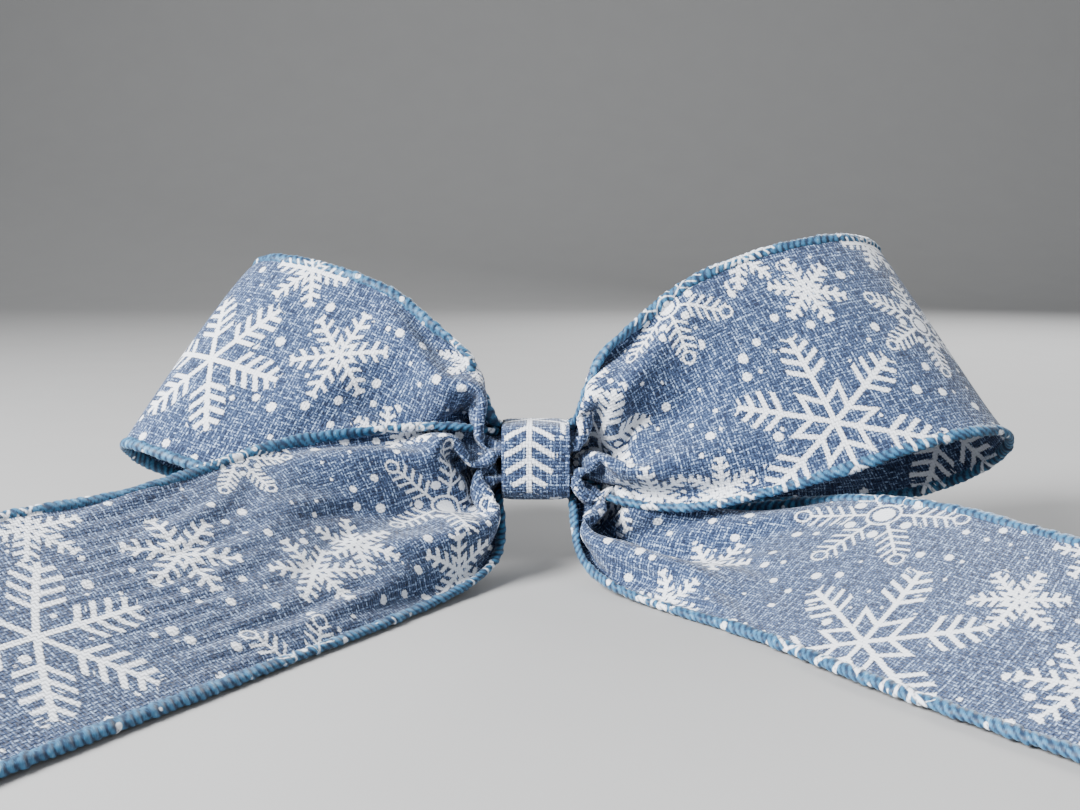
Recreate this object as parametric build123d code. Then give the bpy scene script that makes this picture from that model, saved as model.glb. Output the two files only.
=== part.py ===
"""Pre-made gift bow of wired linen ribbon: two loops and two tails, gathered at a wrapped knot.

Units are millimetres.  +X is the bow's right, +Y its back, +Z up.  The bow stands on its tails.
Every ribbon is a strip of cloth with a wire along each long edge and an overlocked binding over
each wire.  The strips are gathered in a pinch, held by a twist tie, under a folded centre band.
"""
from build123d import *
import math
import os

# ---- driving dimensions ------------------------------------------------------------------
CLOTH_THICK = 0.6          # linen cloth
BINDING_R = 0.9            # overlocked edge, outside radius
WIRE_R = 0.25              # soft edge wire
WIRE_CLEARANCE = 0.05      # between a wire and the bore of its binding
CLOTH_INTO_BINDING = 0.12  # how far the stitches reach over the cloth

KNOT_HEIGHT = 16.4         # centre of the knot above the table
PINCH_R = 4.6              # gathered middle of the ribbons
PINCH_GAP = 0.3            # between the pinch and each ribbon's gathered end
END_PITCH = 2.4            # spacing of the gathered ends, front to back
END_HEIGHT = 5.6           # height of a gathered end
END_THICK = 1.1            # thickness of a gathered end
GATHER_LENGTH = 16.0       # the gathers fan out to plain cloth over this length

BAND_WIDTH = 10.5          # folded centre band, left to right
BAND_THICK = 1.4           # three folded layers
BAND_CLEARANCE = 0.1       # between the pinch and the band
BAND_CORNER_R = 2.8        # outside corner of the band's wrap

TIE_WIDTH = 3.0            # twist tie, flat width
TIE_THICK = 0.5            # its plastic wings
TIE_WIRE_R = 0.25          # its wire
TIE_SLEEVE_R = 0.5         # the round of plastic over the wire
TIE_LEG = 42.0             # length of a leg
TIE_LEG_SPREAD = 50.0      # degrees that each leg stands out from straight back
TIE_LEG_OFFSET = 0.8       # half the distance between the legs' roots
TIE_STEM_R = 1.0           # the twisted stem that comes out through the band
TIE_STEM_OUT = 1.4         # how far the stem stands out behind the band
TIE_GAP = 0.7              # running gap where a leg bends, more than half its thickness
TIE_HOLE_CLEARANCE = 0.05  # round the stem, in the band and the glue
GLUE_THICK = 0.5           # dab of glue between the band's overlapping ends
GLUE_WIDTH = 7.5
GLUE_HEIGHT = 4.5

STATIONS = 48              # cross-sections along a loop
TAIL_STATIONS = 44         # cross-sections along a tail

# ---- ribbon edges: (x, y) from the knot's centre, z above the table ----------------------
FLOOR = BINDING_R          # an edge that lies on the table
END_LOW = KNOT_HEIGHT - END_HEIGHT / 2
END_HIGH = KNOT_HEIGHT + END_HEIGHT / 2


def end_x(row_y):
    """Distance from the knot's centre plane at which a gathered end clears the pinch."""
    inside = max(0.0, abs(row_y) - END_THICK / 2)
    return math.sqrt((PINCH_R + PINCH_GAP) ** 2 - inside ** 2)


SIDE_X = end_x(END_PITCH)
MID_X = end_x(0)

RIGHT_LOOP = {
    "lower": [(SIDE_X, -END_PITCH, END_LOW), (7.4, -3.3, 13), (16, -7, 11.4), (31, -11, 13),
              (47, -12.5, 17), (62, -11.5, 20.8), (71.5, -7.5, 21), (74, 1, 16), (68, 9, 9.5),
              (50, 11, 8), (27, 7.5, 9), (10.5, 3.9, 12.4), (SIDE_X, END_PITCH, END_LOW)],
    "upper": [(SIDE_X, -END_PITCH, END_HIGH), (7.6, -3, 19.9), (11.8, -2.9, 29), (19, -0.5, 39.5),
              (33, 5.5, 48.5), (48, 9.5, 51.6), (56.5, 14, 50.2), (57, 22, 46.5), (45, 27, 42),
              (26, 20, 34.5), (11, 7.2, 24.5), (SIDE_X, END_PITCH, END_HIGH)],
}
LEFT_LOOP = {
    "lower": [(-MID_X, 0, END_LOW), (-8.5, -0.6, 13), (-19, -3.6, 12.2), (-31, -6.6, 12.6),
              (-45, -9, 14), (-57, -8, 17), (-64, -3, 19), (-64, 4, 16.5), (-56, 9.5, 12.5),
              (-40, 11.5, 11), (-22, 8.5, 10.5), (-10, 3.9, 12.4), (-SIDE_X, END_PITCH, END_LOW)],
    "upper": [(-MID_X, 0, END_HIGH), (-7.8, 0, 19.9), (-12.4, 0.8, 30), (-20, 3.5, 40),
              (-31, 8, 46), (-41.5, 12, 48.2), (-47, 17.5, 46), (-45, 24.5, 42.5),
              (-33, 26, 38.5), (-19, 18, 31), (-10.6, 7.4, 24), (-SIDE_X, END_PITCH, END_HIGH)],
}
LEFT_TAIL = {
    "lower": [(-SIDE_X, -END_PITCH, END_LOW), (-8, -3.6, 10.4), (-10.4, -10.5, 4.4),
              (-13.5, -21, 1.7), (-20, -35, FLOOR), (-33.5, -57, FLOOR), (-47.5, -78, FLOOR),
              (-63, -104, FLOOR)],
    "upper": [(-SIDE_X, -END_PITCH, END_HIGH), (-8.2, -3.4, 20), (-21, -8.5, 23),
              (-35, -15.5, 22), (-47, -27.5, 18.4), (-62.5, -46.5, 17.6), (-76, -66, 16.6),
              (-90.5, -87, 15.2)],
}
RIGHT_TAIL = {
    "lower": [(MID_X, 0, END_LOW), (7.7, -2.4, 10.2), (8.6, -8, 4.6), (14, -18.5, 1.5),
              (26, -36, FLOOR), (36.5, -56.5, FLOOR), (50, -76, FLOOR), (67, -103, FLOOR)],
    "upper": [(MID_X, 0, END_HIGH), (7.6, 0.5, 17), (12.5, 0.6, 11.2), (25, -2.5, 9.4),
              (38, -8, 11.5), (51.5, -15.5, 14.4), (72, -39.5, 12.6), (94, -82, 12)],
}


def smooth_path(points):
    """Straight runs joined by tangent arcs that are as large as their runs allow."""
    corners = [Vector(*p) for p in points]
    radii = []
    for before, at, after in zip(corners, corners[1:], corners[2:]):
        run = min((at - before).length, (after - at).length)
        turn = math.radians((at - before).get_angle(after - at))
        radii.append(0.45 * run / math.tan(turn / 2))
    return FilletPolyline(*corners, radius=radii)


def edge_frames(ribbon, count):
    """Matching points along a ribbon's two edges, with the cloth's normal at each."""
    low, high = smooth_path(ribbon["lower"]), smooth_path(ribbon["upper"])
    frames = []
    for i in range(count + 1):
        share = i / count
        a, b = low @ share, high @ share
        along = (low % share) + (high % share)
        frames.append((a, b, along.cross(b - a).normalized()))
    return frames


def cloth(ribbon, count, closed):
    """One strip of cloth: thin cross-sections lofted along it, thicker where it is gathered."""
    frames = edge_frames(ribbon, count)
    run = smooth_path(ribbon["lower"]).length
    sections = []
    for i, (a, b, normal) in enumerate(frames):
        from_end = run * i / count
        if closed:
            from_end = min(from_end, run - from_end)
        gathered = max(0.0, 1 - from_end / GATHER_LENGTH)
        half = (CLOTH_THICK + (END_THICK - CLOTH_THICK) * gathered) / 2
        across = (b - a).normalized()
        inset = WIRE_R + WIRE_CLEARANCE + (BINDING_R - WIRE_R - WIRE_CLEARANCE - CLOTH_INTO_BINDING)
        a, b = a + across * inset, b - across * inset
        if i in (0, count if closed else 0):
            normal = Vector(0, 1, 0) if normal.Y > 0 else Vector(0, -1, 0)
        corners = [a - normal * half, b - normal * half, b + normal * half, a + normal * half]
        sections.append(Face(Wire.make_polygon(corners)))
    return Solid(Solid.make_loft([f.outer_wire() for f in sections], ruled=True).wrapped)


def edge_tube(points, outer, bore, both_ends):
    """A round section along an edge, from just outside the gathers.  bore is 0 for a wire."""
    path = smooth_path(points)
    start = BINDING_START / path.length
    path = path.trim(start, 1 - start if both_ends else 1)
    plane = Plane(origin=path @ 0, z_dir=path % 0)
    section = plane * Circle(outer)
    if bore:
        section -= plane * Circle(bore)
    return sweep(section, path=path)


BINDING_START = 5.0        # length of an edge hidden in the gathers


BAND_INNER = PINCH_R + BAND_CLEARANCE
BAND_OUTER = BAND_INNER + BAND_THICK
TIE_RING_R = PINCH_R - TIE_SLEEVE_R
STEM_START = TIE_RING_R + TIE_SLEEVE_R + 0.05
STEM_END = BAND_OUTER + TIE_STEM_OUT


def knot_pinch():
    """The gathered middle of the ribbons: a ball with a waist that the tie sits in."""
    groove = TIE_SLEEVE_R + 0.05
    ball = CenterArc((0, 0), PINCH_R, 0, 180)
    profile = make_face(ball + Line((-PINCH_R, 0), (PINCH_R, 0)))
    profile -= Pos(0, TIE_RING_R) * Circle(groove)
    profile -= Pos(0, TIE_RING_R + groove) * Rectangle(2 * groove, 2 * groove)
    return revolve(profile, Axis.X)


def stem_hole():
    """Room for the twist tie's stem, from the pinch out past the band."""
    length = STEM_END - TIE_RING_R
    hole = Cylinder(TIE_STEM_R + TIE_HOLE_CLEARANCE, length)
    return Pos(0, TIE_RING_R + length / 2, 0) * Rot(90, 0, 0) * hole


def glue_block():
    """Outline of the glue between the band's overlapping ends."""
    return Pos(0, BAND_INNER + BAND_THICK / 2, 0) * Box(GLUE_WIDTH, GLUE_THICK, GLUE_HEIGHT)


def centre_band():
    """The folded strip wrapped over the pinch, top to bottom."""
    outer = RectangleRounded(2 * BAND_OUTER, 2 * BAND_OUTER, BAND_CORNER_R)
    inner = RectangleRounded(2 * BAND_INNER, 2 * BAND_INNER, BAND_CORNER_R - BAND_THICK)
    ring = Rot(0, 90, 0) * extrude(outer - inner, BAND_WIDTH / 2, both=True)
    return ring - glue_block() - stem_hole()


def glue_dab():
    """Hot glue inside the band's overlap, round the stem."""
    return glue_block() - stem_hole()


def tie_ring():
    """The twist tie round the waist of the pinch."""
    return Rot(0, 90, 0) * Torus(TIE_RING_R, TIE_SLEEVE_R)


def tie_stem():
    """The twisted pair that comes out through the back of the band."""
    length = STEM_END - STEM_START
    return Pos(0, STEM_START + length / 2, 0) * Rot(90, 0, 0) * Cylinder(TIE_STEM_R, length)


def tie_leg_plane(side):
    """Cross-section plane at a leg's root, which is also its bending point."""
    out = math.radians(TIE_LEG_SPREAD)
    return Plane(origin=(side * TIE_LEG_OFFSET, STEM_END + TIE_GAP, 0),
                 x_dir=(0, 0, 1), z_dir=(side * math.sin(out), math.cos(out), 0))


def tie_leg(side):
    """One bendable leg of the twist tie: a round sleeve with a flat wing each side."""
    section = Rectangle(TIE_WIDTH, TIE_THICK) + Circle(TIE_SLEEVE_R)
    section -= Circle(TIE_WIRE_R + WIRE_CLEARANCE)
    return extrude(tie_leg_plane(side) * section, TIE_LEG)


def tie_leg_wire(side):
    """The wire inside one leg."""
    return extrude(tie_leg_plane(side) * Circle(TIE_WIRE_R), TIE_LEG)


def ribbon_nodes(name, ribbon, count, closed):
    """A ribbon's cloth, its two edge wires and its two overlocked bindings, by node name."""
    nodes = {name + "_cloth": cloth(ribbon, count, closed)}
    for edge in ("lower", "upper"):
        points = ribbon[edge]
        nodes[f"{name}_{edge}_binding"] = edge_tube(points, BINDING_R, WIRE_R + WIRE_CLEARANCE, closed)
        nodes[f"{name}_{edge}_wire"] = edge_tube(points, WIRE_R, 0, closed)
    return nodes


def build():
    """All nodes, in the row frame: the origin is under the middle of the bow, on the table."""
    nodes = {}
    nodes.update(ribbon_nodes("right_loop", RIGHT_LOOP, STATIONS, True))
    nodes.update(ribbon_nodes("left_loop", LEFT_LOOP, STATIONS, True))
    nodes.update(ribbon_nodes("right_tail", RIGHT_TAIL, TAIL_STATIONS, False))
    nodes.update(ribbon_nodes("left_tail", LEFT_TAIL, TAIL_STATIONS, False))
    knot = {
        "knot_pinch": knot_pinch(), "centre_band": centre_band(), "glue_dab": glue_dab(),
        "tie_ring": tie_ring(), "tie_stem": tie_stem(),
        "tie_right_leg": tie_leg(1), "tie_left_leg": tie_leg(-1),
        "tie_right_wire": tie_leg_wire(1), "tie_left_wire": tie_leg_wire(-1),
    }
    nodes.update({name: Pos(0, 0, KNOT_HEIGHT) * shape for name, shape in knot.items()})
    box = Compound(children=[s for shape in nodes.values() for s in shape.solids()]).bounding_box()
    to_origin = Pos(-box.center().X, -box.center().Y, -box.min.Z)
    return {name: to_origin * shape for name, shape in nodes.items()}, to_origin.position


def main():
    os.makedirs("parts", exist_ok=True)
    nodes, shift = build()
    for name, shape in nodes.items():
        export_step(Compound(children=list(shape.solids())), f"parts/{name}.step")
    knot = shift + Vector(0, 0, KNOT_HEIGHT)
    print("knot centre in the row frame, mm:", knot)
    print("leg hinges, mm:", knot + Vector(TIE_LEG_OFFSET, STEM_END + TIE_GAP, 0))


if __name__ == "__main__":
    main()
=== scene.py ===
"""Pre-made gift bow of wired, printed linen ribbon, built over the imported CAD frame."""
import math

import bpy
import numpy as np
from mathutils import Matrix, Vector


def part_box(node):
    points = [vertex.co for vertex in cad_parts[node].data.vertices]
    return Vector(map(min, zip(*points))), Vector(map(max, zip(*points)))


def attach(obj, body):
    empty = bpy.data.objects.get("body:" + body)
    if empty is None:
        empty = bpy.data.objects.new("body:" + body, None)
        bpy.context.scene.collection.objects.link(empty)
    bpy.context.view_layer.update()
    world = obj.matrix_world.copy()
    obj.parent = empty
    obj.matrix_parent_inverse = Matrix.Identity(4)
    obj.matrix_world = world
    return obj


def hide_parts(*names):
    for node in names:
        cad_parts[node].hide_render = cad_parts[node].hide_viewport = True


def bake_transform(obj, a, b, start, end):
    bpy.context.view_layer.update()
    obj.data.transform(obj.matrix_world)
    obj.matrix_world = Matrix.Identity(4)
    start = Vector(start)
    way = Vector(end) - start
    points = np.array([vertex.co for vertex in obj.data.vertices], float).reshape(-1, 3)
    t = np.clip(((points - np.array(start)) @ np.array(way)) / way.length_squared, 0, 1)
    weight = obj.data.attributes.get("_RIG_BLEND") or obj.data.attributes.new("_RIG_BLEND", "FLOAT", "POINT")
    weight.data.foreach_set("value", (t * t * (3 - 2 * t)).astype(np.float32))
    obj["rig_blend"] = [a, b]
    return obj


bl_info = {
    "name": "Pre-made Gift Bow",
    "version": (1, 0, 0),
    "blender": (4, 5, 0),
    "location": "View3D > Sidebar > Gift Bow",
    "description": "Builds the ribbons, edges, knot and tie of a pre-made gift bow",
    "category": "Object",
}

MM = 0.001
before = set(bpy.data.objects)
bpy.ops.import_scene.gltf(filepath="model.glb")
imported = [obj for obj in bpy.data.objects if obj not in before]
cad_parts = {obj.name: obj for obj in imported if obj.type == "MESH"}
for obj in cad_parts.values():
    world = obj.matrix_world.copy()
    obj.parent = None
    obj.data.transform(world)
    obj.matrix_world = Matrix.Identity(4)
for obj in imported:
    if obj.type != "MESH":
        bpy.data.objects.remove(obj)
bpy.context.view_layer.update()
KNOT = np.array([(a + b) / 2 for a, b in zip(*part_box("knot_pinch"))]) / MM


# ---- sizes and colours -------------------------------------------------------------------
class GiftBowSizes(bpy.types.PropertyGroup):
    """Sizes in mm."""
    ribbon_width: bpy.props.FloatProperty(
        name="Ribbon width", description="Flat ribbon, edge to edge, in mm", default=38.1, min=10)
    cloth_thick: bpy.props.FloatProperty(
        name="Cloth thickness", description="Linen-look cloth, in mm", default=0.34, min=0.05)
    binding_wide: bpy.props.FloatProperty(
        name="Edge half width", description="Half the overlocked edge's width, in mm",
        default=0.98, min=0.2)
    binding_thick: bpy.props.FloatProperty(
        name="Edge half thickness", description="Half the overlocked edge's thickness, in mm",
        default=0.66, min=0.2)
    stitch_pitch: bpy.props.FloatProperty(
        name="Stitch pitch", description="From one wrap of the edge thread to the next, in mm",
        default=1.15, min=0.3)
    yarn_pitch: bpy.props.FloatProperty(
        name="Yarn pitch", description="From one yarn to the next, in mm", default=0.5, min=0.1)
    pleats: bpy.props.IntProperty(
        name="Half pleats", description="Half pleats across each ribbon at the knot", default=4, min=2)
    band_width: bpy.props.FloatProperty(
        name="Band width", description="Folded centre band, side to side, in mm", default=10.4, min=4)


class GiftBowColours(bpy.types.PropertyGroup):
    """Colours of yarn, print and thread."""
    yarn_dark: bpy.props.FloatVectorProperty(
        name="Dark yarn", description="The ground between the pale yarns", subtype="COLOR",
        default=(0.006, 0.012, 0.036))
    yarn_mid: bpy.props.FloatVectorProperty(
        name="Middle yarn", description="Most of the cloth", subtype="COLOR", default=(0.040, 0.073, 0.160))
    yarn_light: bpy.props.FloatVectorProperty(
        name="Pale yarn", description="The specks and slubs", subtype="COLOR", default=(0.35, 0.47, 0.68))
    print_white: bpy.props.FloatVectorProperty(
        name="Print", description="White ink of flakes and dots", subtype="COLOR", default=(0.86, 0.89, 0.94))
    # painted shade: this deep colour is laid between the wraps of thread, where shade would fall, as well as
    # on dark patches of thread
    thread_dark_and_groove_shade: bpy.props.FloatVectorProperty(
        name="Edge thread, deep", description="Between the wraps of thread", subtype="COLOR",
        default=(0.004, 0.022, 0.06))
    thread_light: bpy.props.FloatVectorProperty(
        name="Edge thread", description="On the wraps of thread", subtype="COLOR",
        default=(0.030, 0.145, 0.28))
    # painted highlight on the crests of the wraps, mixed with pale patches of thread
    thread_pale_and_highlight: bpy.props.FloatVectorProperty(
        name="Edge thread, pale", description="Where single wraps shine", subtype="COLOR",
        default=(0.24, 0.43, 0.58))


# ---- measures, in mm ---------------------------------------------------------------------
ROOT_X = 2.6            # where a ribbon starts, inside the band, from the knot's middle
BAND_EDGE = 5.6         # where it leaves the band
EDGE_ALLOWANCE = 1.1    # of the ribbon's width, taken up by the stitched edges
STITCH_IN = 0.25        # the middle of the stitching, in from the cloth's edge
WIRE_RADIUS = 0.22      # of the wire in each edge
WIRE_STEP = 1.5         # from one ring of the wire to the next
WOBBLE_RUN = 2.2        # over which the wraps of thread crowd or spread
NOTCH_DEPTH = 11.0      # of the notch in a tail's end
NOTCH_RUN = 36          # over which the grid bends into the notch
LOWEST_CLOTH = 0.75     # above the floor
BEND_START = 4.5        # a joint bends the cloth from here, from the knot's middle
BEND_END = 17           # to here

# pleats
PLEAT_SEED = 11
PLEAT_UNEVEN = 0.16     # how far one pleat differs from the next
PLEAT_DEPTH = 0.70      # pressed by the band, as a share of a free fold's depth
FOLD_SHARE = 0.86       # of the spare width, how much the folds take up at first
GATHER_RUN = 48         # the pleats open out over this length
HELD_ROWS = 3           # grid rows held inside the band
EASED_ROWS = 7          # and the rows that ease into the open ribbon

# settling of the cloth
GRID_STEP = 1.2         # along the ribbon, from one grid row to the next
GRID_ACROSS = 33        # grid points across it
CURVE_STEPS = 40        # between two guide points
TAIL_STEPS = 600        # along a tail's edge
ROUNDS = 420
IRON_FROM = 14          # from the root
IRON_FADE = 16
IRON_PASSES = 16
# rows along, points across, how stiff, and whether it pulls too or only pushes, against creases
SPRINGS = [(1, 0, 1.0, True), (0, 1, 1.0, True), (1, 1, 0.35, True), (1, -1, 0.35, True),
           (2, 0, 0.10, False), (0, 2, 0.05, False), (4, 0, 0.05, False)]

# band and pinch
BAND_ROUND = (6.0, 5.75, 3.0)   # half depth, half height and corner radius
BAND_RISE = 0.3         # its middle above the knot's
BAND_UNDER = 2.6        # the start of the overlap behind
BAND_OVER = 3.2         # and its end
OVERLAP_LIFT = 1.5      # how far the end climbs over the start
BAND_CLOTH = 0.32       # thickness of each layer
BAND_ROWS = 150
LAYER_GAP = 0.42        # from one layer to the next
INNER_LAYERS_IN = 0.35  # how much narrower the inner layers are, each side
EDGE_ROLL = 0.28        # how far the folded edges of the outer layer roll in
PINCH_ROOT = (0.2, 11.4, 22.0)  # y, low z, high z
PINCH_LENGTH = 10.2

# print and stage
DOT_CELL = 0.0046       # one dot in each cell of this size, in m
CAMERA_AWAY = 216       # in front of the knot
CAMERA_HEIGHT = 52
CAMERA_TILT = 7.1       # degrees down
CAMERA_LENS = 46.67
PAPER_HALF = 4.0        # half the paper's width, and its reach to the front, in m
PAPER_BEND = 0.5        # radius of the curve up to the backdrop, in m
PAPER_FLAT = 0.75       # how far back the paper lies flat, in m
PAPER_TOP = 2.6         # in m

# name, body, side, front or only root (y, low z, high z), back root, edges past the root,
# along length; loops come back to the knot, tails are cut
RIBBONS = {
    "right_loop": dict(
        body="loop_right", side=1, length=156.0, seed=3,
        roots=[(-1.9, 12.4, 21.3), (2.4, 12.3, 21.2)],
        lower=[(8.5, -4.2, 11.9), (15.5, -8, 10.8), (23.6, -10.5, 10.6), (30.4, -12, 12.4),
               (38.3, -13, 14.7), (48.4, -13, 16.9), (59, -12, 20.1), (70.2, -8, 21.4),
               (75.6, -3, 19.1), (76.6, 4, 14.3), (70.7, 9.5, 9.0), (58, 12, 7.6), (42, 11, 7.6),
               (25, 8, 8.6), (11, 4.2, 10.6)],
        upper=[(7.2, -2.6, 27), (10.9, -1.8, 33.1), (17, 0.6, 39), (24.5, 3.6, 45),
               (32.3, 6.5, 49), (41.5, 9.3, 51.5), (50.4, 13, 52.0), (56, 18, 50),
               (57, 24.5, 46.5), (51, 29, 43), (40, 28, 39.5), (27, 21.5, 35.5),
               (14.5, 12, 29.5), (8, 5.4, 24)]),
    "left_loop": dict(
        body="loop_left", side=-1, length=141.0, seed=5,
        roots=[(-0.9, 12.3, 21.3), (2.5, 12.3, 21.2)],
        lower=[(-9, -1.8, 12.0), (-19, -4.6, 12), (-31, -7.6, 12.6), (-43, -9.8, 14.4),
               (-54.4, -9, 15.8), (-60, -6.6, 17.6), (-64.8, -2.5, 18.9), (-65.5, 3.5, 15.8),
               (-59, 8.8, 11.6), (-46, 11.2, 9.6), (-32, 10.2, 9.4), (-19, 7.4, 9.8),
               (-10, 4.4, 10.6)],
        upper=[(-8.2, 0.2, 28.2), (-11.5, 1.2, 33), (-17, 4, 38.4), (-23.2, 7, 43.4),
               (-30.5, 10, 46.9), (-37.5, 12.6, 48.3), (-43.2, 16, 48.1), (-46.8, 21, 46),
               (-44.5, 26, 43), (-36, 27.5, 39.5), (-25.5, 22.5, 35.5), (-15, 14, 30),
               (-8.4, 6.2, 24)]),
    "left_tail": dict(
        body="tail_left", side=-1, length=118.5, seed=7,
        roots=[(-2.5, 12.3, 20.5)],
        lower=[(-4.9, -6.5, 6.8), (-5.6, -12, 3.5), (-9.2, -19, 1.6), (-14.8, -28.3, 0.8),
               (-21.5, -40, 0.8), (-28.6, -51.2, 0.8), (-40.9, -72.4, 0.8), (-50.5, -88.9, 0.8),
               (-58, -102, 0.8)],
        upper=[(-9, -3.6, 22), (-15.9, -5.4, 22.3), (-27.7, -9, 22.1), (-38.5, -14.5, 21.3),
               (-45, -23, 19.5), (-50, -31, 18.2), (-56, -38, 17.6), (-60.5, -43.5, 17.7),
               (-65.2, -48.5, 17.8), (-75, -62, 17.2), (-86, -80, 16.5)]),
    "right_tail": dict(
        body="tail_right", side=1, length=119.0, seed=9,
        roots=[(-2.3, 12.3, 15.6)],
        lower=[(6.2, -7.5, 7.2), (7.2, -14, 3.6), (12, -22, 1.4), (19.6, -31, 0.8),
               (27.5, -41.5, 0.8), (32.6, -52.4, 0.8), (35.4, -59.3, 0.8), (39.4, -65.2, 0.8),
               (44.8, -73, 0.8), (53.4, -84.9, 0.8), (64, -99, 0.8)],
        upper=[(8.5, -1.6, 12.9), (15, -2.2, 10.3), (25, -3.6, 9.2), (38, -7.5, 11),
               (47.5, -11, 13.2), (52.9, -16, 14.1), (56.5, -21.5, 14.4), (59.6, -27.5, 14.5),
               (63.7, -37, 14.1), (68.2, -46, 13.7), (80, -64, 13.2), (88, -76, 13)]),
}

# line in mm, branch from, step, length, star, ring, tip ring: each a kind of snowflake
FLAKES = {
    "star": (0.39, 0.54, 0.145, 0.25, 0.44, 0.0, 0.0),
    "small": (0.32, 0.42, 0.25, 0.26, 0.36, 0.0, 0.0),
    "ringed": (0.23, 0.34, 0.125, 0.21, 0.0, 0.19, 0.085),
    "fern": (0.40, 0.36, 0.16, 0.26, 0.0, 0.0, 0.0),
}

# kind, along and across the flat ribbon, radius, in mm, and turn in degrees
PLACED = {
    "right_loop": [
        ("star", 45, -11, 14.5, -30), ("small", 52, 10, 6, -35), ("ringed", 30, 17, 11, -25),
        ("ringed", 68, 1, 9.5, -20), ("small", 45, 19, 6, 0), ("small", 69, 17, 6, 0),
        ("fern", 10, 2, 9, -50), ("small", 16, -15, 6, -30), ("small", 26, -16, 5.5, -20),
        ("small", 11, 13, 5.5, 0), ("fern", 88, -9, 13.5, -10), ("small", 92, 11, 7, -40),
        ("star", 112, 4, 14, -15), ("ringed", 134, -6, 11, -35), ("small", 128, 13, 7, 0)],
    "left_loop": [
        ("small", 38, 5, 8, -35), ("fern", 58, -2, 12.5, 0), ("small", 51, 17, 7, 0),
        ("small", 18, 16, 5, -45), ("small", 24, -5, 6, -10), ("ringed", 80, 8, 11, -15),
        ("star", 98, -8, 14, -40), ("small", 110, 11, 7, -10), ("ringed", 124, -2, 10, -30)],
    "left_tail": [
        ("ringed", 17, -1, 12, -55), ("small", 17, 18, 6, -15), ("ringed", 45, 18, 8.5, -20),
        ("small", 64, 4, 8, -30), ("small", 48, -6, 7, -25), ("small", 38, -4, 6.5, -55),
        ("small", 24, -15, 7, -40), ("ringed", 62, -23, 12, -10), ("fern", 89, -3, 14, 0),
        ("small", 80, 15, 7, 0), ("star", 112, 6, 13, -20)],
    "right_tail": [
        ("ringed", 56, 14, 14, -10), ("small", 85, 3, 6.5, -25), ("star", 71, -13, 16, -35),
        ("small", 34, -2, 7, -10), ("small", 12, 8, 7, -20), ("small", 35, -17, 6.5, 0),
        ("small", 92, 17, 7, -10), ("small", 99, -8, 8, -15), ("ringed", 114, 8, 11, 0)],
    "band": [("fern", 33, -1, 16.5, 0), ("small", 9, 4, 6.5, 10), ("ringed", 44, 2, 10, 0)],
    "pinch": [("small", 0, 0, 7, 0)],
}


# ---- small helpers -----------------------------------------------------------------------
def to_frame(points):
    """Points in mm, x and y from the knot's middle and z from the floor, in frame metres."""
    return (np.asarray(points, float) + KNOT * [1, 1, 0]) * MM


def run_along(line):
    """How far along a line each of its points lies."""
    return np.concatenate([[0], np.cumsum(np.linalg.norm(np.diff(line, axis=0), axis=1))])


def length_of(line):
    """A line's whole length."""
    return float(np.linalg.norm(np.diff(line, axis=0), axis=1).sum())


def read_off(line, marks, at):
    """Points of a line whose own points lie at the given marks, read off at other marks."""
    return np.stack([np.interp(at, marks, column) for column in line.T], axis=1)


def smooth_curve(points, count):
    """Points evenly spaced along a smooth curve through the given points."""
    p = np.asarray(points, float)
    p = np.vstack([2 * p[0] - p[1], p, 2 * p[-1] - p[-2]])
    t = np.linspace(0, 1, CURVE_STEPS, endpoint=False)[:, None]
    fine = []
    for i in range(1, len(p) - 2):
        p0, p1, p2, p3 = p[i - 1], p[i], p[i + 1], p[i + 2]
        t01, t12, t23 = (max(np.linalg.norm(b - a), 1e-6) ** 0.5
                         for a, b in ((p0, p1), (p1, p2), (p2, p3)))
        m1 = (p2 - p1) + t12 * ((p1 - p0) / t01 - (p2 - p0) / (t01 + t12))
        m2 = (p2 - p1) + t12 * ((p3 - p2) / t23 - (p3 - p1) / (t12 + t23))
        fine.append((2 * t**3 - 3 * t**2 + 1) * p1 + (t**3 - 2 * t**2 + t) * m1
                    + (3 * t**2 - 2 * t**3) * p2 + (t**3 - t**2) * m2)
    fine = np.vstack(fine + [p[-2:-1]])
    run = run_along(fine)
    return read_off(fine, run, np.linspace(0, run[-1], count))


def normals_of(grid):
    """The unit normal at each point of a grid."""
    n = np.cross(np.gradient(grid, axis=0), np.gradient(grid, axis=1))
    return n / np.maximum(np.linalg.norm(n, axis=2, keepdims=True), 1e-9)


def flake_maps(mesh, flat, print_name):
    """Each face takes the snowflake nearest to it: where it lies on it, its size and kind."""
    placed = PLACED[print_name]
    middle = np.array([f[1:3] for f in placed])
    radius = np.array([f[3] for f in placed])
    turn = np.radians([f[4] for f in placed])
    kind = np.array([list(FLAKES).index(f[0]) for f in placed])
    corners = flat / MM
    centre = corners.reshape(-1, 4, 2).mean(axis=1)
    far = np.linalg.norm(centre[:, None] - middle[None], axis=2) / radius
    pick = np.repeat(far.argmin(axis=1), 4)
    x, y = ((corners - middle[pick]) / radius[pick][:, None]).T
    c, d = np.cos(turn[pick]), np.sin(turn[pick])
    for label, values in (("on_flake", (x * c - y * d, x * d + y * c)),
                          ("flake_kind", (radius[pick] * MM, (kind[pick] + 0.5) / len(FLAKES)))):
        layer = mesh.uv_layers.new(name=label)
        layer.data.foreach_set("uv", np.stack(values, axis=1).astype(np.float32).ravel())


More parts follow.
